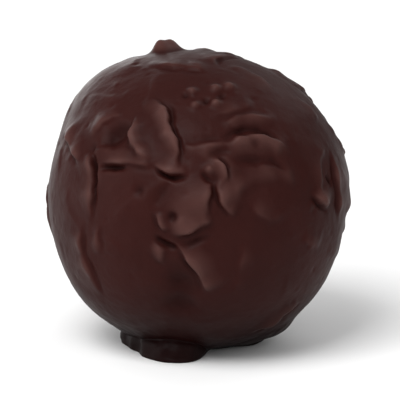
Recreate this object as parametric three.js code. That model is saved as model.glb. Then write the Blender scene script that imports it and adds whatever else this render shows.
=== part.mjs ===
// A hand-dipped caramel truffle: one round sweet, 27 mm across, in a thick coat of dark chocolate.
//
// The soft ball is dipped, rolled between two palms and set down wet. Rolling leaves the coat in
// overlapping folds, slits and small pulled peaks; setting it down flattens the underside and lets
// spare chocolate creep out from under it as a foot. It is uncut, so it is a single solid.
//
// Units are millimetres. +Z is up, -Y is the front, and the origin is on the flat underside,
// straight below the middle of the ball. A place on the ball is given as [turn, rise] in degrees:
// turn goes round to the right from the front, and rise goes up from the ball's middle.

import * as THREE from "three";
import { mergeVertices } from "three/addons/utils/BufferGeometryUtils.js";

// Driving sizes of the ball and its coat.
const ballRadius = 13.5;
const middleHeight = 12.9; // under the ball's radius, so that the underside is flat
const baseEdgeRounding = 0.15;
const wander = 0.03; // how far a fold strays from a true arc, as a share of the radius
const wanderWaves = [
  // how strong each set of waves is, and its rates along two of the directions' parts at a time
  { share: 1, yz: [6, 9], zx: [7, 8], xy: [8, 6] },
  { share: 1 / 4, yz: [22, 17], zx: [19, 23], xy: [18, 21] },
  { share: 1 / 9, yz: [61, 47], zx: [53, 66], xy: [49, 58] },
];
const meshDetail = 23; // cuts of each edge of the icosahedron that the ball is shaped from
const sampleGap = 0.35; // how far round a corner the coat is averaged, so that narrow creases stay even
const sampleCount = 6;

// The foot of spare chocolate: how high it stands, and its lobes, each reaching out from the base.
const footHeight = 3.2;
const footLobes = [
  { turn: -20, spread: 24, reach: 4.8 },
  { turn: -76, spread: 36, reach: 3.3 },
  { turn: 85, spread: 36, reach: 1.7 },
];

// Waves in the foot's edge: how many go round, their share of its reach and height, where they start.
const footWaves = [
  { count: 5, size: 0.04, start: 0 },
  { count: 8, size: 0.05, start: 150 },
  { count: 13, size: 0.05, start: 20 },
];

// Broad unevenness of the ball: place, how wide it is in degrees, and how far it swells.
const swells = [
  { at: [-64, -39], spread: 22, lift: 0.45 },
  { at: [-85, 5], spread: 20, lift: 0.15 },
  { at: [-108, 46], spread: 22, lift: 1.2 },
  { at: [112, 68], spread: 26, lift: -0.2 },
  { at: [98, 8], spread: 9, lift: 0.3 },
  { at: [96, -14], spread: 16, lift: -0.85 },
  { at: [65, -56], spread: 8, lift: 0.4 },
  { at: [-43, 35], spread: 8, lift: -0.45 },
  { at: [20, -25], spread: 24, lift: 0.15 },
  { at: [150, -20], spread: 26, lift: 0.3 },
  { at: [-150, 30], spread: 24, lift: -0.25 },
  { at: [205, -12], spread: 20, lift: -0.3 },
  { at: [180, 35], spread: 16, lift: 0.25 },
  { at: [-112, -30], spread: 18, lift: -0.25 },
  { at: [120, 8], spread: 18, lift: -0.25 },
];

// Laps of the coat, each an arc from one place to another. Its crest has a steep face on the right
// of the way it runs, `edge` wide, and a long back on the left. `bow` bends the arc to the left,
// and `groove` is the depth of the crease at the foot of the steep face.
const lipShare = 0.3; // the share of a lap's height that is its rolled lip
const lipWidth = 1.7; // in widths of its steep face
const unevenness = 0.25; // how much a lap's height varies along it
const lumpLength = 2.6;
const folds = [
  // The broken seam down the left of the front.
  { from: [-45.5, 1], to: [-53, 30], bow: 0.1, height: 0.35, edge: 0.22, back: 1.5, groove: 0.2 },
  { from: [-47.5, -30], to: [-51, 3], bow: -0.1, height: 0.28, edge: 0.25, back: 1.6, groove: 0.12 },
  { from: [-42, -12], to: [-41, 3], bow: 0, height: 0.2, edge: 0.28, back: 0.5, groove: 0.05 },
  { from: [-88, 27], to: [-55, 22], bow: 0.3, height: 0.4, edge: 0.25, back: 1.1, groove: 0.12 },
  // The crumpled patch at the upper left of the front: its lower edge, and ridges round a dent.
  { from: [-46, 23], to: [-20, 25], bow: 0.1, height: 0.3, edge: 0.25, back: 2, groove: 0.1 },
  { from: [-56, 29], to: [-47, 46], bow: 0.2, height: 0.3, edge: 0.32, back: 1.2, groove: 0 },
  { from: [-37, 47], to: [-24, 26], bow: -0.5, height: 0.45, edge: 0.28, back: 0.7, groove: 0.12 },
  { from: [-12.5, 23], to: [-38, 54], bow: -1.7, height: 0.6, edge: 0.25, back: 1, groove: 0.25 },
  { from: [-23, 26.3], to: [-6, 24.8], bow: -0.35, height: 0.35, edge: 0.22, back: 0.8, groove: 0.1 },
  // The raised facet in the middle of the front: its right edge, its lower lip and a strip beside it.
  { from: [3, 8], to: [0, 26], bow: -0.4, height: 0.3, edge: 0.26, back: 1.5, groove: 0.1 },
  { from: [-11, -1], to: [7, 9.5], bow: -0.1, height: 0.45, edge: 0.26, back: 1.7, groove: 0.08 },
  { from: [-14.5, 8], to: [-12, 0], bow: 0, height: 0.3, edge: 0.22, back: 0.45, groove: 0.1 },
  // The curls beside the facet.
  { from: [4, 24], to: [15.5, 8], bow: 0.1, height: 0.45, edge: 0.22, back: 0.8, groove: 0.15 },
  { from: [7.8, 20.5], to: [4.2, 31], bow: -0.2, height: 0.4, edge: 0.22, back: 0.55, groove: 0.2 },
  // The pleat that runs down from the facet, and a shorter one beside it.
  { from: [-8.5, -2], to: [3, -21.5], bow: 0.05, height: 0.55, edge: 0.28, back: 1.6, groove: 0.15 },
  { from: [-16, -13], to: [-13, -3], bow: 0.2, height: 0.3, edge: 0.35, back: 0.8, groove: 0 },
  // The arched lap at the upper right of the front, the soft rolls over it, under it and beside it.
  { from: [46, 30.5], to: [8, 32.5], bow: -0.5, height: 0.45, edge: 0.28, back: 1, groove: 0 },
  { from: [46, 43], to: [12, 42], bow: -0.3, height: 0.3, edge: 0.4, back: 1, groove: 0 },
  { from: [15, 20.5], to: [44, 22], bow: -0.2, height: 0.25, edge: 0.8, back: 1.3, groove: 0 },
  { from: [15, 34], to: [-9, 34], bow: 0, height: 0.3, edge: 0.35, back: 1, groove: 0.1 },
  // The flap at the right of the front, and the ridges beside and below it.
  { from: [72, 24], to: [67, -4], bow: -0.4, height: 0.35, edge: 0.25, back: 3.6, groove: 0.12 },
  { from: [49, 15], to: [60, 4], bow: 0, height: 0.5, edge: 0.25, back: 0.8, groove: 0.2 },
  { from: [30, -49], to: [52, -33], bow: 0.5, height: 0.4, edge: 0.28, back: 0.9, groove: 0.2 },
  // Right side: a long lap that runs down to the back, with shorter ones that meet it.
  { from: [84, 52], to: [134, -12], bow: 2.2, height: 0.45, edge: 0.28, back: 3.6, groove: 0.2 },
  { from: [92, 26], to: [116, 12], bow: -0.6, height: 0.3, edge: 0.32, back: 1.8, groove: 0.1 },
  { from: [100, -26], to: [132, -24], bow: 0.9, height: 0.35, edge: 0.32, back: 1.6, groove: 0.12 },
  { from: [80, -4], to: [92, -20], bow: 0.4, height: 0.25, edge: 0.35, back: 1.2, groove: 0.08 },
  // Back: two long laps, one over the other, and pleats where they end.
  { from: [126, 40], to: [178, 2], bow: 2.4, height: 0.4, edge: 0.28, back: 3, groove: 0.15 },
  { from: [160, 48], to: [218, 22], bow: 2, height: 0.45, edge: 0.28, back: 2.6, groove: 0.18 },
  { from: [184, -2], to: [232, -24], bow: 1.6, height: 0.35, edge: 0.28, back: 2.4, groove: 0.12 },
  { from: [142, -22], to: [176, -16], bow: -0.9, height: 0.3, edge: 0.35, back: 1.8, groove: 0.1 },
  { from: [196, 4], to: [207, 20], bow: 0.5, height: 0.35, edge: 0.28, back: 1.4, groove: 0.12 },
  { from: [166, 14], to: [184, 20], bow: -0.6, height: 0.3, edge: 0.28, back: 1.4, groove: 0.1 },
  // Left side: a lap that runs up from behind the front's seam, and two that cross above it.
  { from: [-112, 44], to: [-134, -14], bow: -1.8, height: 0.45, edge: 0.28, back: 3, groove: 0.18 },
  { from: [-166, 38], to: [-132, 52], bow: 0.9, height: 0.4, edge: 0.28, back: 1.8, groove: 0.2 },
  { from: [-108, -10], to: [-124, 12], bow: 0.6, height: 0.3, edge: 0.28, back: 1.2, groove: 0.1 },
  { from: [-80, -14], to: [-98, 8], bow: 0.7, height: 0.25, edge: 0.35, back: 1.6, groove: 0.06 },
  // Top: a swirl that the palms left as the ball was let go.
  { from: [-70, 70], to: [20, 72], bow: -0.6, height: 0.22, edge: 0.35, back: 1.4, groove: 0.1 },
  { from: [30, 76], to: [116, 73], bow: 0.8, height: 0.22, edge: 0.28, back: 1.4, groove: 0.12 },
  { from: [160, 66], to: [-160, 62], bow: 0.7, height: 0.35, edge: 0.28, back: 1.6, groove: 0.15 },
];

// Slits pressed or torn into the coat: arcs like the folds, but cut `depth` deep on both sides.
const slits = [
  { from: [-46.5, 20.5], to: [-31, 22], bow: 0.1, depth: 0.5, width: 0.3 },
  { from: [-47.8, 12], to: [-48.8, 28], bow: 0.1, depth: 0.6, width: 0.33 },
  { from: [-42.5, 28], to: [-40.5, 43], bow: 0, depth: 0.6, width: 1 },
  { from: [-22.5, 25], to: [-5.5, 22.8], bow: -0.5, depth: 0.5, width: 0.28 },
  { from: [-14.7, 22], to: [-14.5, 8], bow: 0, depth: 0.2, width: 0.5 },
  { from: [-17, -2], to: [-7.5, -5.3], bow: -0.15, depth: 0.45, width: 0.3 },
  { from: [-8.5, -4], to: [6.5, 3], bow: -0.25, depth: 0.28, width: 0.27 },
  { from: [-1.5, 26.3], to: [4.1, 22], bow: -0.25, depth: 0.28, width: 0.22 },
  { from: [1, 31.8], to: [14, 31.6], bow: 0.1, depth: 0.25, width: 0.4 },
  { from: [9, 35], to: [44, 33], bow: 0.9, depth: 0.34, width: 0.27 },
  { from: [10, 29], to: [40, 24.5], bow: -0.35, depth: 0.28, width: 0.4 },
  { from: [60, 16], to: [64, 11], bow: 0, depth: 0.35, width: 0.3 },
  { from: [-10, -8], to: [-7.5, -38], bow: 0, depth: 0.5, width: 1.4 },
  { from: [106, 36], to: [118, 30], bow: 0.3, depth: 0.3, width: 0.3 },
  { from: [172, 30], to: [186, 26], bow: 0.3, depth: 0.3, width: 0.3 },
  { from: [-130, 24], to: [-119, 30], bow: 0.2, depth: 0.3, width: 0.3 },
];

// Small peaks, pits and raised spots: place, radius, and how far each stands out.
const nubs = [
  { at: [-146, 71], radius: 0.75, lift: 1.05 },
  { at: [-130, 71], radius: 0.75, lift: 1.05 },
  { at: [-4, 13], radius: 1.9, lift: 0.25 },
  { at: [26, 33], radius: 1.2, lift: 0.12 },
  { at: [-6, 59], radius: 0.42, lift: 0.4 },
  { at: [-3, 52], radius: 0.42, lift: 0.35 },
  { at: [12, 60.5], radius: 0.45, lift: 0.4 },
  { at: [9.5, 52.5], radius: 0.42, lift: 0.4 },
  { at: [23, 61], radius: 0.5, lift: 0.4 },
  { at: [-9.5, 57], radius: 0.35, lift: -0.25 },
  { at: [4, 54], radius: 0.35, lift: -0.3 },
  { at: [15, 56], radius: 0.35, lift: -0.25 },
  { at: [-54, 28.5], radius: 0.5, lift: -0.3 },
  { at: [-24, 16], radius: 0.5, lift: -0.3 },
  { at: [-10, 7.5], radius: 0.42, lift: -0.45 },
  { at: [3.8, 25.4], radius: 0.42, lift: 0.4 },
  { at: [25.6, 34], radius: 0.35, lift: -0.15 },
  { at: [140, 38], radius: 0.7, lift: 0.6 },
  { at: [-150, 58], radius: 0.6, lift: 0.4 },
  { at: [186, 30], radius: 0.6, lift: -0.4 },
];

// Faint smears that the palms left all round, spread evenly by steps whose multiples never meet, and
// thinned out below the ball's middle.
const smearCount = 70;
const smearHeight = 0.15;
const smearEdge = 0.35;
const smearBack = 1.5;
const smearReach = { least: 12, more: 16 }; // how long a smear is, in degrees
const smearSteps = { heading: 0.7549, reach: 0.5698, bow: 0.4142, height: 0.6181, back: 0.3247 };
const goldenTurn = 137.508;
const narrowestRing = 0.3; // keeps a smear near a pole from running right round it
const thinned = { share: 0.25, from: 0.1, to: -0.6 }; // by the height on a ball of radius one

const radians = THREE.MathUtils.degToRad;
const smoothstep = THREE.MathUtils.smoothstep;

function directionTo([turn, rise]) {
  const level = Math.cos(radians(rise));
  return new THREE.Vector3(
    Math.sin(radians(turn)) * level,
    -Math.cos(radians(turn)) * level,
    Math.sin(radians(rise)),
  );
}

// The great circle through two places: its middle, its way forward and its left side.
function arcBetween({ from, to, ...shape }) {
  const start = directionTo(from);
  const end = directionTo(to);
  const middle = start.clone().add(end).normalize();
  const side = start.clone().cross(end).normalize();
  const forward = side.clone().cross(middle);
  const halfLength = (ballRadius * start.angleTo(end)) / 2;
  return { middle, side, forward, halfLength, ...shape };
}

// Where a direction lies beside an arc: how far off its line to the left, and how far the arc still
// has its full strength there, from 0 past its ends to 1 at its middle.
function beside(direction, arc) {
  const facing = direction.dot(arc.middle);
  if (facing <= 0) return null;
  const along = ballRadius * Math.atan2(direction.dot(arc.forward), facing);
  const share = along / arc.halfLength;
  if (Math.abs(share) >= 1) return null;
  const across = ballRadius * Math.asin(direction.dot(arc.side));
  const taper = Math.sqrt(1 - share * share) * smoothstep(1 - Math.abs(share), 0, 0.5);
  const lumps = 1 + unevenness * Math.sin((2 * Math.PI * along) / lumpLength + arc.halfLength);
  return { off: across - arc.bow * (1 - share * share), strength: taper * lumps };
}

const bell = (distance, width) => Math.exp(-((distance / width) ** 2));

// A lap's height across its line: a steep face, a rolled lip, and a long back that thins out.
function lap(off, edge, back) {
  if (off < 0) return bell(off, edge);
  return lipShare * bell(off, lipWidth * edge) + (1 - lipShare) * bell(off, back);
}

function foldLift(direction, arc) {
  const place = beside(direction, arc);
  if (!place) return 0;
  const crest = arc.height * lap(place.off, arc.edge, arc.back);
  const crease = arc.groove * bell(place.off + 2 * arc.edge, arc.edge);
  return place.strength * (crest - crease);
}

function slitLift(direction, arc) {
  const place = beside(direction, arc);
  return place ? -arc.depth * place.strength * bell(place.off, arc.width) : 0;
}

// The part of n times a step that is over a whole number: an even, repeatable spread from 0 to 1.
const spreadOut = (n, step) => (n * step) % 1;

function smearArc(n) {
  const height = 1 - (2 * (n + 0.5)) / smearCount;
  const rise = THREE.MathUtils.radToDeg(Math.asin(height));
  const turn = n * goldenTurn;
  const heading = 2 * Math.PI * spreadOut(n, smearSteps.heading);
  const reach = smearReach.least + smearReach.more * spreadOut(n, smearSteps.reach);
  const turnStep = (reach * Math.cos(heading)) / Math.max(Math.cos(radians(rise)), narrowestRing);
  const riseStep = reach * Math.sin(heading);
  return arcBetween({
    from: [turn - turnStep / 2, rise - riseStep / 2],
    to: [turn + turnStep / 2, rise + riseStep / 2],
    bow: 2 * spreadOut(n, smearSteps.bow) - 1,
    height: smearHeight * (0.5 + spreadOut(n, smearSteps.height)),
    edge: smearEdge,
    back: smearBack * (0.6 + spreadOut(n, smearSteps.back)),
    groove: 0,
  });
}

const foldArcs = folds.map(arcBetween);
const slitArcs = slits.map(arcBetween);
const smearArcs = Array.from({ length: smearCount }, (_, n) => smearArc(n));
const placed = ({ at, ...shape }) => ({ centre: directionTo(at), ...shape });
const swellsPlaced = swells.map(placed);
const nubsPlaced = nubs.map(placed);

// Nothing done by hand is a true arc: this moves a direction a little aside, smoothly.
function strayed(direction) {
  const { x, y, z } = direction;
  const aside = new THREE.Vector3();
  for (const { share, yz, zx, xy } of wanderWaves) {
    aside.x += share * Math.sin(yz[0] * y + yz[1] * z);
    aside.y += share * Math.sin(zx[0] * z + zx[1] * x);
    aside.z += share * Math.sin(xy[0] * x + xy[1] * y);
  }
  return aside.multiplyScalar(wander).add(direction).normalize();
}

// How far the coat stands above the true ball in a direction.
function coatLift(direction) {
  const aside = strayed(direction);
  let lift = 0;
  for (const swell of swellsPlaced)
    lift += swell.lift * bell(direction.angleTo(swell.centre), radians(swell.spread));
  for (const arc of foldArcs) lift += foldLift(aside, arc);
  for (const arc of slitArcs) lift += slitLift(aside, arc);
  for (const nub of nubsPlaced)
    lift += nub.lift * bell(ballRadius * direction.angleTo(nub.centre), nub.radius);
  const rumpled = THREE.MathUtils.lerp(
    thinned.share,
    1,
    smoothstep(direction.z, thinned.to, thinned.from),
  );
  for (const arc of smearArcs) lift += rumpled * foldLift(aside, arc);
  return lift;
}

// The mean of the coat's lift at a direction and in a small ring round it.
function meanLift(direction) {
  const across = new THREE.Vector3(-direction.y, direction.x, 0);
  if (across.lengthSq() < 1e-6) across.set(1, 0, 0);
  across.setLength(sampleGap / ballRadius);
  let sum = coatLift(direction);
  for (let i = 0; i < sampleCount; i++) {
    const aside = across.clone().applyAxisAngle(direction, (2 * Math.PI * i) / sampleCount);
    sum += coatLift(aside.add(direction).normalize());
  }
  return sum / (sampleCount + 1);
}

// The lesser of two lengths, with the corner between them rounded off.
function roundedMin(a, b, rounding) {
  const overlap = Math.max(rounding - Math.abs(a - b), 0) / rounding;
  return Math.min(a, b) - (overlap * overlap * rounding) / 4;
}

// How far out the foot reaches from the middle line, towards a turn and at a height.
function footRadius(turn, height) {
  const flatRadius = Math.sqrt(ballRadius ** 2 - middleHeight ** 2);
  let ragged = 1;
  for (const { count, size, start } of footWaves)
    ragged += size * Math.sin(radians(count * turn + start));
  let reach = flatRadius;
  for (const lobe of footLobes)
    reach += ragged * lobe.reach * Math.exp(-(((turn - lobe.turn) / lobe.spread) ** 4));
  const share = Math.min(height / (footHeight * ragged), 1);
  return { reach, share, here: reach * Math.cbrt(1 - share ** 3), flatRadius };
}

// The coat's surface in a direction from the ball's middle.
function coatPoint(direction) {
  let reach = ballRadius + meanLift(direction);
  if (direction.z < 0) reach = roundedMin(reach, -middleHeight / direction.z, baseEdgeRounding);
  const point = direction.clone().multiplyScalar(reach);
  point.z += middleHeight;

  const turn = THREE.MathUtils.radToDeg(Math.atan2(point.x, -point.y));
  const out = Math.hypot(point.x, point.y);
  const foot = footRadius(turn, Math.max(point.z, 0));
  if (foot.share === 1) return point;
  const wanted = out < foot.flatRadius ? (out * foot.reach) / foot.flatRadius : foot.here;
  const stretch = Math.max(wanted / Math.max(out, 1e-6), 1);
  point.x *= stretch;
  point.y *= stretch;
  return point;
}

function truffleGeometry() {
  const ball = new THREE.IcosahedronGeometry(1, meshDetail);
  ball.deleteAttribute("normal");
  ball.deleteAttribute("uv");
  const shaped = mergeVertices(ball, 1e-5);
  const places = shaped.getAttribute("position");
  const direction = new THREE.Vector3();
  for (let i = 0; i < places.count; i++) {
    direction.fromBufferAttribute(places, i).normalize();
    const point = coatPoint(direction);
    places.setXYZ(i, point.x, point.y, Math.max(point.z, 0));
  }
  shaped.computeVertexNormals();
  return shaped;
}

const darkChocolate = new THREE.MeshStandardMaterial({
  color: 0x3a201c,
  roughness: 0.5,
  metalness: 0,
});

const truffle = new THREE.Mesh(truffleGeometry(), darkChocolate);
truffle.name = "truffle";

const sweet = new THREE.Group();
sweet.add(truffle);

export default sweet;
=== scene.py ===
import math

import bpy
import numpy as np
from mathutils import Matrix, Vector


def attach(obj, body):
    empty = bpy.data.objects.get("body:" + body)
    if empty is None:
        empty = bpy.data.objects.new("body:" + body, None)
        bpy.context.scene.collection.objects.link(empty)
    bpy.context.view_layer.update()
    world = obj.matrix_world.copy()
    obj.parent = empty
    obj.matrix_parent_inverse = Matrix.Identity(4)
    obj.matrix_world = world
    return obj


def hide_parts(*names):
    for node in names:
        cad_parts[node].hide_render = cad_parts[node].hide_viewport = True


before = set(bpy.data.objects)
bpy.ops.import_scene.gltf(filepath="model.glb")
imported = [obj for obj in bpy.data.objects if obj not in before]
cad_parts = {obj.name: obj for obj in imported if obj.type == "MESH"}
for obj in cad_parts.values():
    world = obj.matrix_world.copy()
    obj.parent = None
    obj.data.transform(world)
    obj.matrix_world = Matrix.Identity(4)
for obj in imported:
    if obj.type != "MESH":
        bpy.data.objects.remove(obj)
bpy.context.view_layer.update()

scene = bpy.context.scene


# --- The coat ------------------------------------------------------------------------------------
# A soft caramel ball in a thick coat of dark chocolate: dipped by hand, rolled between two palms and
# set down wet. The palms leave laps, slits and pulled peaks in the coat, the underside sets flat, and
# spare chocolate creeps out from under it as a foot. It is uncut, so the coat is all that shows.

# Lengths here are millimetres until the mesh is made. A place on the ball is (turn, rise) in degrees:
# turn goes round to the right from the front, and rise goes up from the ball's middle.
MM = 0.001
BALL_RADIUS = 13.5
MIDDLE_HEIGHT = 12.9  # under the ball's radius, so that the underside is flat
BASE_EDGE_ROUNDING = 0.15
CELLS = 128  # squares along each edge of the cube that is blown up round into the ball
NEXT_TO_NOTHING = 1e-6  # keeps a divisor off nought

WANDER = 0.03  # how far a fold strays from a true arc, as a share of the radius
WANDER_WAVES = (  # share, then the waves' rates along y and z, z and x, x and y
    (1, (6, 9), (7, 8), (8, 6)),
    (1 / 4, (22, 17), (19, 23), (18, 21)),
    (1 / 9, (61, 47), (53, 66), (49, 58)),
)

FOOT_HEIGHT = 3.2
FOOT_LOBES = (  # turn, spread in degrees, reach past the flat underside
    (-20, 24, 4.8),
    (-76, 36, 3.3),
    (85, 36, 1.7),
)
FOOT_WAVES = (  # waves round the foot, share of its reach and height, start in degrees
    (5, 0.04, 0),
    (8, 0.05, 150),
    (13, 0.05, 20),
)

SWELLS = (  # place, spread in degrees, lift
    ((-64, -39), 22, 0.45),
    ((-85, 5), 20, 0.15),
    ((-108, 46), 22, 1.2),
    ((112, 68), 26, -0.2),
    ((98, 8), 9, 0.3),
    ((96, -14), 16, -0.85),
    ((65, -56), 8, 0.4),
    ((-43, 35), 8, -0.45),
    ((20, -25), 24, 0.15),
    ((150, -20), 26, 0.3),
    ((-150, 30), 24, -0.25),
    ((205, -12), 20, -0.3),
    ((180, 35), 16, 0.25),
    ((-112, -30), 18, -0.25),
    ((120, 8), 18, -0.25),
)

# Laps of the coat: from, to, bow to the left, height, width of the steep face on the right, width of
# the long back on the left, depth of the crease under the face, and how far the lip curls over it.
FOLDS = (
    # The broken seam down the left of the front.
    ((-45.5, 1), (-53, 30), 0.1, 0.35, 0.22, 1.5, 0.2, 0.15),
    ((-47.5, -30), (-51, 3), -0.1, 0.28, 0.25, 1.6, 0.12, 0.1),
    ((-42, -12), (-41, 3), 0, 0.2, 0.28, 0.5, 0.05, 0.05),
    ((-88, 27), (-55, 22), 0.3, 0.4, 0.25, 1.1, 0.12, 0.15),
    # The crumpled patch at the upper left of the front: its lower edge, and ridges round a dent.
    ((-46, 23), (-20, 25), 0.1, 0.3, 0.25, 2.0, 0.1, 0.1),
    ((-56, 29), (-47, 46), 0.2, 0.3, 0.32, 1.2, 0, 0.05),
    ((-37, 47), (-24, 26), -0.5, 0.45, 0.28, 0.7, 0.12, 0.1),
    ((-12.5, 23), (-38, 54), -1.7, 0.6, 0.25, 1.0, 0.25, 0.2),
    ((-23, 26.3), (-6, 24.8), -0.35, 0.35, 0.22, 0.8, 0.1, 0.1),
    # The raised facet in the middle of the front: its right edge, its lower lip and a strip beside it.
    ((3, 8), (0, 26), -0.4, 0.3, 0.26, 1.5, 0.1, 0.1),
    ((-11, -1), (7, 9.5), -0.1, 0.45, 0.26, 1.7, 0.08, 0.2),
    ((-14.5, 8), (-12, 0), 0, 0.3, 0.22, 0.45, 0.1, 0),
    # The curls beside the facet.
    ((4, 24), (15.5, 8), 0.1, 0.45, 0.22, 0.8, 0.15, 0.15),
    ((7.8, 20.5), (4.2, 31), -0.2, 0.4, 0.22, 0.55, 0.2, 0.15),
    # The pleat that runs down from the facet, and a shorter one beside it.
    ((-8.5, -2), (3, -21.5), 0.05, 0.55, 0.28, 1.6, 0.15, 0.1),
    ((-16, -13), (-13, -3), 0.2, 0.3, 0.35, 0.8, 0, 0),
    # The arched lap at the upper right of the front, the soft rolls over it, under it and beside it.
    ((46, 30.5), (8, 32.5), -0.5, 0.45, 0.28, 1.0, 0, 0.1),
    ((46, 43), (12, 42), -0.3, 0.3, 0.4, 1.0, 0, 0),
    ((15, 20.5), (44, 22), -0.2, 0.25, 0.8, 1.3, 0, 0.05),
    ((15, 34), (-9, 34), 0, 0.3, 0.35, 1.0, 0.1, 0.05),
    # The flap at the right of the front, and the ridges beside and below it.
    ((72, 24), (67, -4), -0.4, 0.35, 0.25, 3.6, 0.12, 0.15),
    ((49, 15), (60, 4), 0, 0.5, 0.25, 0.8, 0.2, 0.15),
    ((30, -49), (52, -33), 0.5, 0.4, 0.28, 0.9, 0.2, 0.2),
    # Right side: a long lap that runs down to the back, with shorter ones that meet it.
    ((84, 52), (134, -12), 2.2, 0.45, 0.28, 3.6, 0.2, 0.25),
    ((92, 26), (116, 12), -0.6, 0.3, 0.32, 1.8, 0.1, 0.1),
    ((100, -26), (132, -24), 0.9, 0.35, 0.32, 1.6, 0.12, 0.15),
    ((80, -4), (92, -20), 0.4, 0.25, 0.35, 1.2, 0.08, 0.1),
    # Back: two long laps, one over the other, and pleats where they end.
    ((126, 40), (178, 2), 2.4, 0.4, 0.28, 3.0, 0.15, 0.2),
    ((160, 48), (218, 22), 2.0, 0.45, 0.28, 2.6, 0.18, 0.25),
    ((184, -2), (232, -24), 1.6, 0.35, 0.28, 2.4, 0.12, 0.2),
    ((142, -22), (176, -16), -0.9, 0.3, 0.35, 1.8, 0.1, 0.1),
    ((196, 4), (207, 20), 0.5, 0.35, 0.28, 1.4, 0.12, 0.15),
    ((166, 14), (184, 20), -0.6, 0.3, 0.28, 1.4, 0.1, 0.1),
    # Left side: a lap that runs up from behind the front's seam, and two that cross above it.
    ((-112, 44), (-134, -14), -1.8, 0.45, 0.28, 3.0, 0.18, 0.2),
    ((-166, 38), (-132, 52), 0.9, 0.4, 0.28, 1.8, 0.2, 0.2),
    ((-108, -10), (-124, 12), 0.6, 0.3, 0.28, 1.2, 0.1, 0.1),
    ((-80, -14), (-98, 8), 0.7, 0.25, 0.35, 1.6, 0.06, 0.1),
    # Top: a swirl that the palms left as the ball was let go.
    ((-70, 70), (20, 72), -0.6, 0.22, 0.35, 1.4, 0.1, 0.1),
    ((30, 76), (116, 73), 0.8, 0.22, 0.28, 1.4, 0.12, 0.15),
    ((160, 66), (-160, 62), 0.7, 0.35, 0.28, 1.6, 0.15, 0.2),
)

SLITS = (  # from, to, bow, depth, width
    # The seam at the left of the front, and the dent in the crumpled patch above it.
    ((-46.5, 20.5), (-31, 22), 0.1, 0.5, 0.3),
    ((-47.8, 12), (-48.8, 28), 0.1, 0.6, 0.33),
    ((-42.5, 28), (-40.5, 43), 0, 0.6, 1.0),
    # Over the facet in the middle of the front, down its left edge and under it.
    ((-22.5, 25), (-5.5, 22.8), -0.5, 0.5, 0.28),
    ((-14.7, 22), (-14.5, 8), 0, 0.2, 0.5),
    ((-17, -2), (-7.5, -5.3), -0.15, 0.45, 0.3),
    ((-8.5, -4), (6.5, 3), -0.25, 0.28, 0.27),
    ((-1.5, 26.3), (4.1, 22), -0.25, 0.28, 0.22),
    # Round the arched lap, in the flap at the right, and a broad furrow below the facet.
    ((1, 31.8), (14, 31.6), 0.1, 0.25, 0.4),
    ((9, 35), (44, 33), 0.9, 0.34, 0.27),
    ((10, 29), (40, 24.5), -0.35, 0.28, 0.4),
    ((60, 16), (64, 11), 0, 0.35, 0.3),
    ((-10, -8), (-7.5, -38), 0, 0.5, 1.4),
    # Right side, back and left side.
    ((106, 36), (118, 30), 0.3, 0.3, 0.3),
    ((172, 30), (186, 26), 0.3, 0.3, 0.3),
    ((-130, 24), (-119, 30), 0.2, 0.3, 0.3),
)

NUBS = (  # place, radius, lift, which is negative for a dent
    # The pulled peak behind the top, which stands over the outline from the front.
    ((-146, 71), 0.75, 1.05),
    ((-130, 71), 0.75, 1.05),
    # The fullness of the front's facet and of its arched lap.
    ((-4, 13), 1.9, 0.25),
    ((26, 33), 1.2, 0.12),
    # A cluster of knots high on the front, and the dents between them.
    ((-6, 59), 0.42, 0.4),
    ((-3, 52), 0.42, 0.35),
    ((12, 60.5), 0.45, 0.4),
    ((9.5, 52.5), 0.42, 0.4),
    ((23, 61), 0.5, 0.4),
    ((-9.5, 57), 0.35, -0.25),
    ((4, 54), 0.35, -0.3),
    ((15, 56), 0.35, -0.25),
    # Dents and one bead among the front's folds.
    ((-54, 28.5), 0.5, -0.3),
    ((-24, 16), 0.5, -0.3),
    ((-10, 7.5), 0.42, -0.45),
    ((3.8, 25.4), 0.42, 0.4),
    ((25.6, 34), 0.35, -0.15),
    # Back and left side.
    ((140, 38), 0.7, 0.6),
    ((-150, 58), 0.6, 0.4),
    ((186, 30), 0.6, -0.4),
)

LIP_SHARE = 0.3  # the share of a lap's height that is its rolled lip
LIP_WIDTH = 1.7  # in widths of the lap's steep face, as the next two are
CREASE_OFFSET = 2  # how far the crease lies beyond the lap's line
CURL_WIDTH = 1.5
UNEVENNESS = 0.25  # how much a lap's height varies along it
LUMP_LENGTH = 2.6
ENDS_FADE = 0.5  # the share of each half of a lap over which it fades out to its end
CURLS_WHOLE, CURLS_GONE = -0.5, -0.75  # lips curl less between these heights, in ball radii

# Faint smears of the palms lie all over the ball. Each one's place and size follow from its number.
SMEAR_COUNT = 70
SMEAR_HEIGHT = 0.15
SMEAR_EDGE = 0.35
SMEAR_BACK = 1.5
SMEAR_LOWEST = 0.5  # in smear heights, and the highest smear has 1 more
SMEAR_NARROWEST = 0.6  # in smear backs, and the broadest smear has 1 more
SMEAR_REACH = 12  # the shortest smear's length in degrees
SMEAR_MORE_REACH = 16  # what the longest smear has on top of that
SMEAR_STEPS = {"heading": 0.7549, "reach": 0.5698, "bow": 0.4142, "height": 0.6181, "back": 0.3247}
NARROWEST_RING = 0.3  # keeps a smear near a pole from running right round it
GOLDEN_TURN = 137.508  # degrees round the ball from one smear to the next
THINNED = 0.25  # smears thin out to this share between the next line's heights, in ball radii
THINNED_FROM, THINNED_TO = 0.1, -0.6


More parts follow.
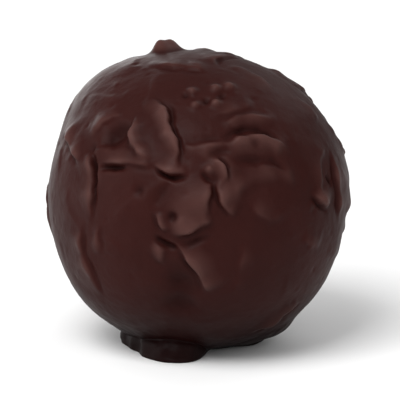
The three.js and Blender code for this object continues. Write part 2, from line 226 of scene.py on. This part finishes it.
def ball_grid(cells):
    """The corners and four-sided faces of a ball, cut like a cube blown up round, with no doubles."""
    steps = np.tan(np.linspace(-math.pi / 4, math.pi / 4, cells + 1))
    a, b = np.meshgrid(steps, steps, indexing="ij")
    index = np.arange((cells + 1) ** 2).reshape(cells + 1, cells + 1)
    square = np.stack([index[:-1, :-1], index[1:, :-1], index[1:, 1:], index[:-1, 1:]], axis=-1)
    corners, faces = [], []
    for axis in range(3):
        for facing in (-1, 1):
            side = np.empty((cells + 1, cells + 1, 3))
            side[..., axis] = facing
            side[..., (axis + 1) % 3] = a * facing
            side[..., (axis + 2) % 3] = b
            faces.append(square.reshape(-1, 4) + len(corners) * index.size)
            corners.append(side.reshape(-1, 3))
    corners = np.concatenate(corners)
    corners /= np.linalg.norm(corners, axis=1, keepdims=True)
    _, first, shared = np.unique(
        np.round(corners, 6), axis=0, return_index=True, return_inverse=True
    )
    return corners[first], shared.reshape(-1)[np.concatenate(faces)]


def bell(distance, width):
    return np.exp(-((distance / width) ** 2))


def smoothstep(value, low, high):
    share = np.clip((value - low) / (high - low), 0, 1)
    return share * share * (3 - 2 * share)


def unit(vectors):
    return vectors / np.linalg.norm(vectors, axis=-1, keepdims=True)


def direction_to(place):
    turn, rise = np.radians(place)
    return np.array([math.sin(turn) * math.cos(rise), -math.cos(turn) * math.cos(rise), math.sin(rise)])


def angle_to(directions, centre):
    return np.arccos(np.clip(directions @ centre, -1, 1))


def strayed(directions):
    """Nothing done by hand is a true arc: this moves each direction a little aside, smoothly."""
    x, y, z = directions.T
    aside = np.zeros_like(directions)
    for share, yz, zx, xy in WANDER_WAVES:
        aside[:, 0] += share * np.sin(yz[0] * y + yz[1] * z)
        aside[:, 1] += share * np.sin(zx[0] * z + zx[1] * x)
        aside[:, 2] += share * np.sin(xy[0] * x + xy[1] * y)
    return unit(directions + WANDER * aside)


def beside_arc(directions, start, end, bow):
    """How far each direction lies to the left of an arc's line, the arc's strength there, and its side."""
    start, end = direction_to(start), direction_to(end)
    middle = unit(start + end)
    side = unit(np.cross(start, end))
    forward = np.cross(side, middle)
    half_length = BALL_RADIUS * angle_to(start, end) / 2
    facing = directions @ middle
    along = BALL_RADIUS * np.arctan2(directions @ forward, facing)
    share = np.clip(np.abs(along / half_length), 0, 1)
    across = BALL_RADIUS * np.arcsin(np.clip(directions @ side, -1, 1))
    strength = np.sqrt(1 - share**2) * smoothstep(1 - share, 0, ENDS_FADE) * (facing > 0)
    strength *= 1 + UNEVENNESS * np.sin(2 * math.pi * along / LUMP_LENGTH + half_length)
    return across - bow * (1 - share**2), strength, side


def lap(off, edge, back):
    """A lap's height across its line: a steep face, a rolled lip, and a long back that thins out."""
    rolled = LIP_SHARE * bell(off, LIP_WIDTH * edge) + (1 - LIP_SHARE) * bell(off, back)
    return np.where(off < 0, bell(off, edge), rolled)


def smear(n):
    """The ends, bow, height and back width of one of the faint smears, spread evenly by a rule."""
    share = {name: n * step % 1 for name, step in SMEAR_STEPS.items()}
    rise = math.degrees(math.asin(1 - 2 * (n + 0.5) / SMEAR_COUNT))
    turn = n * GOLDEN_TURN
    heading = 2 * math.pi * share["heading"]
    reach = SMEAR_REACH + SMEAR_MORE_REACH * share["reach"]
    ring = max(math.cos(math.radians(rise)), NARROWEST_RING)
    turn_step = reach * math.cos(heading) / ring / 2
    rise_step = reach * math.sin(heading) / 2
    start = (turn - turn_step, rise - rise_step)
    end = (turn + turn_step, rise + rise_step)
    bow = 2 * share["bow"] - 1
    height = SMEAR_HEIGHT * (SMEAR_LOWEST + share["height"])
    back = SMEAR_BACK * (SMEAR_NARROWEST + share["back"])
    return start, end, bow, height, back


def coat_relief(directions):
    """How far the laps, slits and nubs stand out in each direction, and how far their lips lean over."""
    aside = strayed(directions)
    relief = np.zeros(len(directions))
    lean = np.zeros_like(directions)
    for start, end, bow, height, edge, back, groove, curl in FOLDS:
        off, strength, side = beside_arc(aside, start, end, bow)
        crease = groove * bell(off + CREASE_OFFSET * edge, edge)
        relief += strength * (height * lap(off, edge, back) - crease)
        lean -= (curl * strength * bell(off, CURL_WIDTH * edge))[:, None] * side
    for start, end, bow, depth, width in SLITS:
        off, strength, _ = beside_arc(aside, start, end, bow)
        relief -= depth * strength * bell(off, width)
    for place, radius, lift in NUBS:
        relief += lift * bell(BALL_RADIUS * angle_to(directions, direction_to(place)), radius)
    rumpled = THINNED + (1 - THINNED) * smoothstep(directions[:, 2], THINNED_TO, THINNED_FROM)
    for n in range(SMEAR_COUNT):
        start, end, bow, height, back = smear(n)
        off, strength, _ = beside_arc(aside, start, end, bow)
        relief += rumpled * height * strength * lap(off, SMEAR_EDGE, back)
    return relief, lean


def rounded_min(a, b, rounding):
    """The lesser of two distances, with the corner where they cross rounded off."""
    overlap = np.maximum(rounding - np.abs(a - b), 0) / rounding
    return np.minimum(a, b) - overlap**2 * rounding / 4


def set_down(directions, relief, lean):
    """The coat's surface in each direction: the ball with its swells and relief, flat underneath."""
    reach = BALL_RADIUS + relief
    for place, spread, lift in SWELLS:
        reach += lift * bell(angle_to(directions, direction_to(place)), math.radians(spread))
    rise = directions[:, 2]
    to_the_floor = MIDDLE_HEIGHT / np.maximum(-rise, NEXT_TO_NOTHING)
    reach = np.where(rise < 0, rounded_min(reach, to_the_floor, BASE_EDGE_ROUNDING), reach)
    curled = smoothstep(rise, CURLS_GONE, CURLS_WHOLE)
    points = directions * reach[:, None] + lean * curled[:, None]
    points[:, 2] = np.maximum(points[:, 2] + MIDDLE_HEIGHT, 0)
    return points


def with_foot(points):
    """The same points with the lowest drawn out sideways to the foot's wavy, round-shouldered wall."""
    turn = np.degrees(np.arctan2(points[:, 0], -points[:, 1]))
    out = np.maximum(np.hypot(points[:, 0], points[:, 1]), NEXT_TO_NOTHING)
    flat_radius = math.sqrt(BALL_RADIUS**2 - MIDDLE_HEIGHT**2)
    ragged = np.ones(len(points))
    for count, size, start in FOOT_WAVES:
        ragged += size * np.sin(np.radians(count * turn + start))
    crept = np.zeros(len(points))
    for lobe, spread, reach in FOOT_LOBES:
        crept += reach * np.exp(-(((turn - lobe) / spread) ** 4))
    foot = flat_radius + ragged * crept
    share = np.clip(points[:, 2] / (FOOT_HEIGHT * ragged), 0, 1)
    wanted = np.where(out < flat_radius, out * foot / flat_radius, foot * np.cbrt(1 - share**3))
    stretch = np.where(share < 1, np.maximum(wanted / out, 1), 1)
    return points * np.stack([stretch, stretch, np.ones(len(points))], axis=-1)


directions, faces = ball_grid(CELLS)
relief, lean = coat_relief(directions)
surface = with_foot(set_down(directions, relief, lean))
coat_mesh = bpy.data.meshes.new("coat")
coat_mesh.from_pydata(surface * MM, [], faces.tolist())
coat_mesh.shade_smooth()
coat_mesh.attributes.new("relief", "FLOAT", "POINT").data.foreach_set("value", relief)
coat = bpy.data.objects.new("coat", coat_mesh)
scene.collection.objects.link(coat)


def add_node(tree, kind, inputs=None, **settings):
    """A node with its settings, and its inputs set to values or joined to sockets."""
    node = tree.nodes.new(kind)
    for name, value in settings.items():
        setattr(node, name, value)
    for name, value in (inputs or {}).items():
        if isinstance(value, bpy.types.NodeSocket):
            tree.links.new(value, node.inputs[name])
        else:
            node.inputs[name].default_value = value
    return node


def maths(tree, operation, a, b=0.0, c=0.0):
    return add_node(tree, "ShaderNodeMath", {0: a, 1: b, 2: c}, operation=operation).outputs[0]


def noise(tree, place, size, detail=2.0, roughness=0.5):
    """Even noise from 0 to 1 with patches about `size` metres across."""
    scale = maths(tree, "DIVIDE", 1.0, size)
    inputs = {"Vector": place, "Scale": scale, "Detail": detail, "Roughness": roughness}
    return add_node(tree, "ShaderNodeTexNoise", inputs).outputs["Fac"]


def ramp(tree, value, start, end, most=1.0):
    """0 up to where the value is `start`, `most` past where it is `end`, and even in between."""
    inputs = {"Value": value, "From Min": start, "From Max": end, "To Max": most}
    return add_node(tree, "ShaderNodeMapRange", inputs).outputs["Result"]


def blend(tree, share, first, second):
    """The first colour where the share is 0, and the second where it is 1."""
    inputs = {"Factor": share, "A": first, "B": second}
    return add_node(tree, "ShaderNodeMix", inputs, data_type="RGBA").outputs["Result"]


# The chocolate's browns, and how strongly each of the last three is laid over the two of the body.
BODY_BROWNS = ((0.0218, 0.0045, 0.0036, 1), (0.0286, 0.0063, 0.0051, 1))
BODY_NOISE = (0.3, 0.7)  # the noise at which each of the two is whole
# Painted shade: the brown laid into creases and sunk spots to darken them.
CREASE_SHADE_BROWN = (0.0150, 0.0030, 0.0024, 1)
# Paler brown on crests and raised spots: partly wear, partly a painted highlight where the light catches
# them.
WEAR_AND_HIGHLIGHT_BROWN = (0.068, 0.029, 0.025, 1)
# Painted shade: the near-black brown laid on towards the floor, where the ball overhangs the foot.
FLOOR_SHADE_BROWN = (0.006, 0.0008, 0.0008, 1)
SUNK_SHARE = 0.7
CREST_SHARE = 0.5
RAISED_SHARE = 0.65
FLOOR_SHADE_SHARE = 0.95
FLOOR_SHADE_FADE = 1.8  # the power by which the painted shade near the floor thins out upwards

# Where a brown starts and where it is laid on whole. Crests and creases are measured from the coat
# around them, and raised and sunk spots from the bare ball, in millimetres. The two levels of the
# painted shade near the floor are metres over the floor.
CREASE_DEPTHS = (-0.02, -0.22)
CREST_HEIGHTS = (0.03, 0.30)
SUNK_DEPTHS = (-0.03, -0.38)
RAISED_HEIGHTS = (0.08, 0.48)
FLOOR_SHADE_LEVELS = (8.8 * MM, 1.6 * MM)

DULLNESS = 0.36  # the least, to which mottling and creases add at most the next two
MOTTLED_DULLNESS = 0.22
CREASE_DULLNESS = 0.2
SHEEN = 0.06
BODY_PATCH = 6 * MM
MOTTLE_PATCH = 1.2 * MM
FINE_GRAIN = 0.35 * MM
FINE_GRAIN_HEIGHT = 0.06 * MM
FINE_GRAIN_STRENGTH = 0.35


def dark_chocolate():
    """Dark chocolate that set by itself: satin and duller in creases, with painted shade darkening its
    creases, sunk spots and the part near the floor, and paler crests and raised spots that are partly wear
    and partly painted highlight.
    """
    material = bpy.data.materials.new("dark_chocolate")
    material.use_nodes = True
    tree = material.node_tree
    shader = tree.nodes["Principled BSDF"]
    place = add_node(tree, "ShaderNodeTexCoord").outputs["Object"]
    crest = add_node(tree, "ShaderNodeAttribute", attribute_name="crest").outputs["Fac"]
    large = add_node(tree, "ShaderNodeAttribute", attribute_name="relief").outputs["Fac"]
    level = add_node(tree, "ShaderNodeSeparateXYZ", {0: place}).outputs["Z"]

    patches = noise(tree, place, BODY_PATCH, detail=4, roughness=0.6)
    body = add_node(tree, "ShaderNodeValToRGB", {"Fac": patches})
    for stop, position, brown in zip(body.color_ramp.elements, BODY_NOISE, BODY_BROWNS):
        stop.position = position
        stop.color = brown

    # Painted shade in creases and sunk spots; the same mask also makes them duller.
    sunk = ramp(tree, large, *SUNK_DEPTHS, most=SUNK_SHARE)
    hollow = maths(tree, "MAXIMUM", ramp(tree, crest, *CREASE_DEPTHS), sunk)
    brown = blend(tree, hollow, body.outputs["Color"], CREASE_SHADE_BROWN)
    # Paler on crests and raised spots: partly wear, partly painted highlight.
    crest_wear_and_highlight = maths(tree, "MULTIPLY", ramp(tree, crest, *CREST_HEIGHTS), CREST_SHARE)
    wear_and_highlight = maths(tree, "MULTIPLY_ADD", ramp(tree, large, *RAISED_HEIGHTS), RAISED_SHARE, crest_wear_and_highlight)
    brown = blend(tree, wear_and_highlight, brown, WEAR_AND_HIGHLIGHT_BROWN)
    # Painted shade: darker towards the floor, strongest on the foot.
    floor_shade = maths(tree, "POWER", ramp(tree, level, *FLOOR_SHADE_LEVELS), FLOOR_SHADE_FADE)
    brown = blend(tree, maths(tree, "MULTIPLY", floor_shade, FLOOR_SHADE_SHARE), brown, FLOOR_SHADE_BROWN)
    tree.links.new(brown, shader.inputs["Base Color"])

    mottle = noise(tree, place, MOTTLE_PATCH, detail=3, roughness=0.6)
    dullness = maths(tree, "MULTIPLY_ADD", mottle, MOTTLED_DULLNESS, DULLNESS)
    dullness = maths(tree, "MULTIPLY_ADD", hollow, CREASE_DULLNESS, dullness)
    tree.links.new(dullness, shader.inputs["Roughness"])
    shader.inputs["Specular IOR Level"].default_value = SHEEN

    grain = noise(tree, place, FINE_GRAIN, detail=3, roughness=0.6)
    bump = add_node(
        tree,
        "ShaderNodeBump",
        {"Strength": FINE_GRAIN_STRENGTH, "Distance": FINE_GRAIN_HEIGHT, "Height": grain},
    )
    tree.links.new(bump.outputs["Normal"], shader.inputs["Normal"])
    return material


LUMPS_FADE = (1.3, 0.6)  # in foot heights, where the foot's lumps start and where they are whole
SMALL_RELIEF_START = 0.2  # in flat heights, where the small relief starts over the flat underside
CREST_BLUR = 14  # rounds of evening out that give the level of the coat around a spot
AMPLE_DENSITY = 1e6  # points to a square metre before those too close together are dropped


def coat_relief_tree(material):
    """The small relief of the coat: ripples, grain, pulled peaks, burst bubbles, a lumpy foot."""
    tree = bpy.data.node_groups.new("coat_small_relief", "GeometryNodeTree")
    tree.interface.new_socket("Geometry", in_out="INPUT", socket_type="NodeSocketGeometry")
    sizes = {
        "Ripple height": 0.07 * MM,
        "Ripple length": 2.6 * MM,
        "Grain height": 0.018 * MM,
        "Grain size": 0.55 * MM,
        "Peak height": 0.05 * MM,
        "Peak radius": 0.3 * MM,
        "Peak spacing": 2.2 * MM,
        "Pit depth": 0.07 * MM,
        "Pit radius": 0.26 * MM,
        "Pit spacing": 3.0 * MM,
        "Flat height": 0.4 * MM,
        "Foot lump height": 0.45 * MM,
        "Foot lump length": 3.2 * MM,
        "Foot height": FOOT_HEIGHT * MM,
    }
    for name, value in sizes.items():
        socket = tree.interface.new_socket(name, in_out="INPUT", socket_type="NodeSocketFloat")
        socket.default_value = value
    tree.interface.new_socket("Seed", in_out="INPUT", socket_type="NodeSocketInt").default_value = 7
    tree.interface.new_socket("Geometry", in_out="OUTPUT", socket_type="NodeSocketGeometry")

    given = add_node(tree, "NodeGroupInput").outputs
    surface = given["Geometry"]
    place = add_node(tree, "GeometryNodeInputPosition").outputs[0]
    normal = add_node(tree, "GeometryNodeInputNormal").outputs[0]

    def waves(size, height):
        """Soft waves from -height to +height."""
        centred = maths(tree, "SUBTRACT", noise(tree, place, size), 0.5)
        return maths(tree, "MULTIPLY", maths(tree, "MULTIPLY", centred, height), 2.0)

    def dots(spacing, radius, height, seed_step):
        """Round bumps at scattered points, each of its own height."""
        seed = maths(tree, "ADD", given["Seed"], float(seed_step))
        scattered = add_node(
            tree,
            "GeometryNodeDistributePointsOnFaces",
            {"Mesh": surface, "Distance Min": spacing, "Density Max": AMPLE_DENSITY, "Seed": seed},
            distribute_method="POISSON",
        )
        points = scattered.outputs["Points"]
        near = add_node(
            tree,
            "GeometryNodeProximity",
            {"Geometry": points, "Source Position": place},
            target_element="POINTS",
        )
        share = maths(tree, "DIVIDE", near.outputs["Distance"], radius)
        mound = maths(tree, "EXPONENT", maths(tree, "MULTIPLY", maths(tree, "POWER", share, 2.0), -1.0))
        nearest = add_node(
            tree, "GeometryNodeSampleNearest", {"Geometry": points, "Sample Position": place}
        )
        chance = add_node(
            tree,
            "FunctionNodeRandomValue",
            {"ID": nearest.outputs["Index"], "Seed": seed},
            data_type="FLOAT",
        )
        return maths(
            tree, "MULTIPLY", maths(tree, "MULTIPLY", mound, chance.outputs["Value"]), height
        )

    ripples = waves(given["Ripple length"], given["Ripple height"])
    grain = waves(given["Grain size"], given["Grain height"])
    peaks = dots(given["Peak spacing"], given["Peak radius"], given["Peak height"], 1)
    pits = dots(given["Pit spacing"], given["Pit radius"], given["Pit depth"], 2)
    small = maths(tree, "SUBTRACT", maths(tree, "ADD", maths(tree, "ADD", ripples, grain), peaks), pits)

    level = add_node(tree, "ShaderNodeSeparateXYZ", {0: place}).outputs["Z"]
    lumps_start, lumps_whole = (maths(tree, "MULTIPLY", given["Foot height"], at) for at in LUMPS_FADE)
    lumps = waves(given["Foot lump length"], given["Foot lump height"])
    small = maths(tree, "MULTIPLY_ADD", lumps, ramp(tree, level, lumps_start, lumps_whole), small)
    relief_start = maths(tree, "MULTIPLY", given["Flat height"], SMALL_RELIEF_START)
    small = maths(tree, "MULTIPLY", small, ramp(tree, level, relief_start, given["Flat height"]))
    offset = add_node(tree, "ShaderNodeVectorMath", {0: normal, "Scale": small}, operation="SCALE")

    large = add_node(
        tree, "GeometryNodeInputNamedAttribute", {"Name": "relief"}, data_type="FLOAT"
    )
    whole = maths(tree, "ADD", large.outputs["Attribute"], maths(tree, "DIVIDE", small, MM))
    around = add_node(
        tree, "GeometryNodeBlurAttribute", {"Value": whole, "Iterations": CREST_BLUR}, data_type="FLOAT"
    )
    crest = maths(tree, "SUBTRACT", whole, around.outputs["Value"])
    kept = add_node(
        tree,
        "GeometryNodeStoreNamedAttribute",
        {"Geometry": surface, "Name": "crest", "Value": crest},
        data_type="FLOAT",
        domain="POINT",
    )
    moved = add_node(
        tree, "GeometryNodeSetPosition", {"Geometry": kept.outputs[0], "Offset": offset.outputs[0]}
    )
    real = add_node(tree, "GeometryNodeRealizeInstances", {"Geometry": moved.outputs[0]})
    coated = add_node(
        tree, "GeometryNodeSetMaterial", {"Geometry": real.outputs[0], "Material": material}
    )
    add_node(tree, "NodeGroupOutput", {"Geometry": coated.outputs[0]})
    return tree


relief_modifier = coat.modifiers.new("small relief", "NODES")
relief_modifier.node_group = coat_relief_tree(dark_chocolate())
settled = coat.evaluated_get(bpy.context.evaluated_depsgraph_get())
finished_mesh = bpy.data.meshes.new_from_object(settled)
coat.modifiers.remove(relief_modifier)
coat.data = finished_mesh
finished_mesh.shade_smooth()

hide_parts("truffle")
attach(coat, "root")


# --- The floor -----------------------------------------------------------------------------------
# A plain pale sheet that the truffle stands on, nearly free of gloss and wide enough to fill every view
# from above the horizon.

FLOOR_HALF_WIDTH = 3.0  # metres
PALE = (0.88, 0.88, 0.88, 1)
PALE_DULLNESS = 0.9
PALE_SHEEN = 0.1

floor_mesh = bpy.data.meshes.new("floor")
floor_sides = ((-1, -1), (1, -1), (1, 1), (-1, 1))
floor_corners = [(x * FLOOR_HALF_WIDTH, y * FLOOR_HALF_WIDTH, 0) for x, y in floor_sides]
floor_mesh.from_pydata(floor_corners, [], [(0, 1, 2, 3)])
floor = bpy.data.objects.new("floor", floor_mesh)
scene.collection.objects.link(floor)
pale = bpy.data.materials.new("pale_sheet")
pale.use_nodes = True
pale_inputs = pale.node_tree.nodes["Principled BSDF"].inputs
pale_inputs["Base Color"].default_value = PALE
pale_inputs["Roughness"].default_value = PALE_DULLNESS
pale_inputs["Specular IOR Level"].default_value = PALE_SHEEN
floor_mesh.materials.append(pale)


# --- Light ---------------------------------------------------------------------------------------
# A white room, with a soft light high up at the left of the front and weaker ones low at the left, low
# behind on the left, high behind on the right, and at the right of the front.

WHITE = (1, 1, 1, 1)
ROOM_BRIGHTNESS = 0.43
LIGHTS = {  # turn and rise in degrees, distance and width in metres, watts
    "key": (-34, 54, 0.40, 0.24, 1.5),
    "rim": (-158, 5, 0.40, 0.26, 0.8),
    "front_fill": (40, 25, 0.50, 0.30, 0.35),
    "back_right": (140, 40, 0.50, 0.30, 0.4),
    "left_fill": (-80, 10, 0.45, 0.36, 0.8),
}

room = bpy.data.worlds.new("white_room")
room.use_nodes = True
room.node_tree.nodes["Background"].inputs["Color"].default_value = WHITE
room.node_tree.nodes["Background"].inputs["Strength"].default_value = ROOM_BRIGHTNESS
scene.world = room
scene.view_settings.view_transform = "Standard"

truffle_middle = Vector((0, 0, MIDDLE_HEIGHT * MM))
for name, (turn, rise, distance, width, watts) in LIGHTS.items():
    lamp = bpy.data.lights.new(name, "AREA")
    lamp.size = width
    lamp.energy = watts
    light = bpy.data.objects.new(name, lamp)
    away = Vector(direction_to((turn, rise)))
    light.location = truffle_middle + away * distance
    light.rotation_euler = away.to_track_quat("Z", "Y").to_euler()
    scene.collection.objects.link(light)


# --- Camera --------------------------------------------------------------------------------------
# A long lens that looks straight at the truffle's front from a little above, with the ball's middle in
# the middle of the frame and the ball across three quarters of it.

CAMERA_RISE = 14  # degrees
CAMERA_DISTANCE = 0.45  # metres, as the next is
FRAME_WIDTH = 0.036  # what the frame takes in at the truffle's middle

camera_data = bpy.data.cameras.new("camera")
camera_data.lens = camera_data.sensor_width * CAMERA_DISTANCE / FRAME_WIDTH
camera = bpy.data.objects.new("camera", camera_data)
towards_camera = Vector(direction_to((0, CAMERA_RISE)))
camera.location = truffle_middle + towards_camera * CAMERA_DISTANCE
camera.rotation_euler = towards_camera.to_track_quat("Z", "Y").to_euler()
scene.collection.objects.link(camera)
scene.camera = camera
